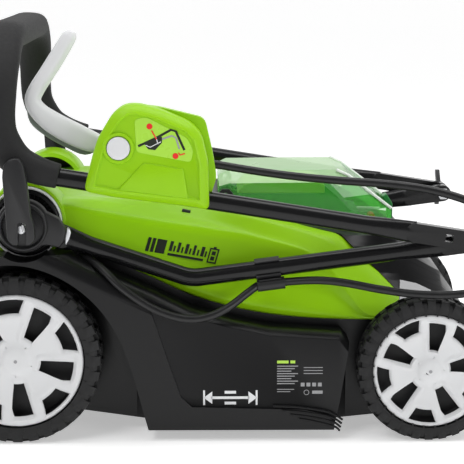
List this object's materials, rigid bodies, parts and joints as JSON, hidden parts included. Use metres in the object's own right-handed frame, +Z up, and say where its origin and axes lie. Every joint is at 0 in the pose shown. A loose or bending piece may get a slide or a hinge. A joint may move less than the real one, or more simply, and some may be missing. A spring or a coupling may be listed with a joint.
{
  "type": "push lawn mower",
  "caption": "Cordless push lawn mower, folded for storage, with a faceted cover, clear battery lid, cranked axles, folding tube handle, bail lever and switch box.",
  "frame": {"origin": "on the ground under the middle of the folded mower, halfway between its front and back wheel edges", "axes": "+X forward, the way it is pushed; +Y to the mower's left; +Z up"},
  "size_m": [0.6174, 0.428, 0.4355],
  "materials": {
    "black_shell": "fine satin texture, moulded",
    "green_shell": "moulded, satin gloss",
    "clear_green": "smooth transparent plastic",
    "light_grey": "fine satin texture, moulded",
    "dark_plastic": "matt, moulded",
    "battery": "matt, moulded",
    "latch_green": "moulded, satin gloss",
    "key_red": "moulded, gloss",
    "tyre": "moulded tread",
    "tube": "gloss powder coat",
    "grip_foam": "soft, matt",
    "cable": "smooth, satin",
    "steel": "zinc plated",
    "blade_steel": "ground edge, painted body",
    "motor_can": "die cast",
    "switch_case": "moulded"
  },
  "bodies": {
    "chassis": {"deck": "black_shell", "motor_cover": "green_shell", "top_hood": "black_shell", "handle_bracket_right": "black_shell", "handle_bracket_left": "black_shell", "motor": "motor_can", "controller": "dark_plastic", "rear_axle_clamps": "dark_plastic", "front_axle_clamps": "dark_plastic", "flap_rod": "steel", "cable_gland": "dark_plastic"},
    "spindle": {"motor_shaft": "steel", "rotor": "steel", "blade_carrier": "dark_plastic", "blade": "blade_steel", "blade_bolt": "steel"},
    "battery": {"battery_pack": "battery"},
    "lid": {"battery_lid": "clear_green", "lid_latch": "latch_green"},
    "key": {"safety_key": "key_red"},
    "flap": {"rear_flap": "black_shell"},
    "rear_axle_body": {"rear_axle": "steel", "rear_wheel_nuts": "steel"},
    "front_axle_body": {"front_axle": "steel", "front_wheel_nuts": "steel"},
    "lower_handle": {"lower_tube_right": "tube", "lower_tube_left": "tube", "knuckle_right": "dark_plastic", "knuckle_left": "dark_plastic", "cable_clip": "dark_plastic", "clamp_bolts": "steel", "cable_upper": "cable", "cable_lower": "cable"},
    "upper_handle": {"upper_tube_right": "tube", "upper_tube_left": "tube", "grip_loop": "grip_foam", "switch_box_outer": "green_shell", "switch_box_inner": "green_shell", "switch_unit": "switch_case", "bail_pin": "light_grey"},
    "bail": {"bail_lever": "light_grey"},
    "start_button_body": {"start_button": "switch_case"},
    "rear_wheel_right": {"rear_tyre_right": "tyre", "rear_rim_right": "dark_plastic", "rear_wheel_cover_right": "light_grey"},
    "rear_wheel_left": {"rear_tyre_left": "tyre", "rear_rim_left": "dark_plastic", "rear_wheel_cover_left": "light_grey"},
    "front_wheel_right": {"front_tyre_right": "tyre", "front_rim_right": "dark_plastic", "front_wheel_cover_right": "light_grey"},
    "front_wheel_left": {"front_tyre_left": "tyre", "front_rim_left": "dark_plastic", "front_wheel_cover_left": "light_grey"},
    "cam_lever_right_body": {"cam_lever_right": "dark_plastic"},
    "wing_nut_right_body": {"wing_nut_right": "dark_plastic"},
    "cam_lever_left_body": {"cam_lever_left": "dark_plastic"},
    "wing_nut_left_body": {"wing_nut_left": "dark_plastic"}
  },
  "joints": [
    {"name": "blade_spin", "type": "hinge", "parent": "chassis", "child": "spindle", "pos_m": [0.0255, 0, 0.06], "axis": [0, 0, 1], "continuous": true},
    {"name": "battery_lift", "type": "slide", "parent": "chassis", "child": "battery", "axis": [0, 0, 1], "range_m": [0, 0.008]},
    {"name": "lid_hinge", "type": "hinge", "parent": "chassis", "child": "lid", "pos_m": [0.0095, 0, 0.245], "axis": [0, -1, 0], "range_deg": [0, 80]},
    {"name": "key_pull", "type": "slide", "parent": "chassis", "child": "key", "axis": [0, 0, 1], "range_m": [0, 0.009]},
    {"name": "flap_hinge", "type": "hinge", "parent": "chassis", "child": "flap", "pos_m": [-0.2735, 0, 0.198], "axis": [0, 1, 0], "range_deg": [0, 85], "stiffness_Nm_per_rad": 0.1, "springref_deg": -11.46},
    {"name": "rear_height", "type": "hinge", "parent": "chassis", "child": "rear_axle_body", "pos_m": [-0.17208, 0, 0.064], "axis": [0, -1, 0], "range_deg": [0, 67.5]},
    {"name": "front_height", "type": "hinge", "parent": "chassis", "child": "front_axle_body", "pos_m": [0.25992, 0, 0.051], "axis": [0, -1, 0], "range_deg": [0, 67.5]},
    {"name": "rear_wheel_right_spin", "type": "hinge", "parent": "rear_axle_body", "child": "rear_wheel_right", "pos_m": [-0.2095, -0.173, 0.089], "axis": [0, 1, 0], "continuous": true},
    {"name": "rear_wheel_left_spin", "type": "hinge", "parent": "rear_axle_body", "child": "rear_wheel_left", "pos_m": [-0.2095, 0.173, 0.089], "axis": [0, 1, 0], "continuous": true},
    {"name": "front_wheel_right_spin", "type": "hinge", "parent": "front_axle_body", "child": "front_wheel_right", "pos_m": [0.2225, -0.173, 0.076], "axis": [0, 1, 0], "continuous": true},
    {"name": "front_wheel_left_spin", "type": "hinge", "parent": "front_axle_body", "child": "front_wheel_left", "pos_m": [0.2225, 0.173, 0.076], "axis": [0, 1, 0], "continuous": true},
    {"name": "lower_fold", "type": "hinge", "parent": "chassis", "child": "lower_handle", "pos_m": [-0.2005, 0, 0.228], "axis": [0, -1, 0], "range_deg": [0, 140], "deforming": ["cable_lower"]},
    {"name": "upper_fold", "type": "hinge", "parent": "lower_handle", "child": "upper_handle", "pos_m": [0.2815, 0, 0.21], "axis": [0, 1, 0], "range_deg": [0, 164], "deforming": ["cable_upper"]},
    {"name": "cam_lever_right_swing", "type": "hinge", "parent": "lower_handle", "child": "cam_lever_right_body", "pos_m": [-0.2005, -0.195, 0.228], "axis": [1, 0, 0], "range_deg": [0, 95]},
    {"name": "wing_nut_right_turn", "type": "hinge", "parent": "lower_handle", "child": "wing_nut_right_body", "pos_m": [0.2815, -0.195, 0.21], "axis": [0, -1, 0], "range_deg": [0, 360]},
    {"name": "cam_lever_left_swing", "type": "hinge", "parent": "lower_handle", "child": "cam_lever_left_body", "pos_m": [-0.2005, 0.195, 0.228], "axis": [-1, 0, 0], "range_deg": [0, 95]},
    {"name": "wing_nut_left_turn", "type": "hinge", "parent": "lower_handle", "child": "wing_nut_left_body", "pos_m": [0.2815, 0.195, 0.21], "axis": [0, 1, 0], "range_deg": [0, 360]},
    {"name": "bail_swing", "type": "hinge", "parent": "upper_handle", "child": "bail", "pos_m": [-0.1005, 0, 0.311], "axis": [0, -1, 0], "range_deg": [0, 25], "stiffness_Nm_per_rad": 1, "springref_deg": -20.05},
    {"name": "start_press", "type": "slide", "parent": "upper_handle", "child": "start_button_body", "axis": [0, -1, 0], "range_m": [0, 0.004], "stiffness_N_per_m": 200, "springref_m": -0.002}
  ],
  "couplings": [
    {"joint": "upper_fold", "follows": "lower_fold", "ratio": 1.1714}
  ]
}
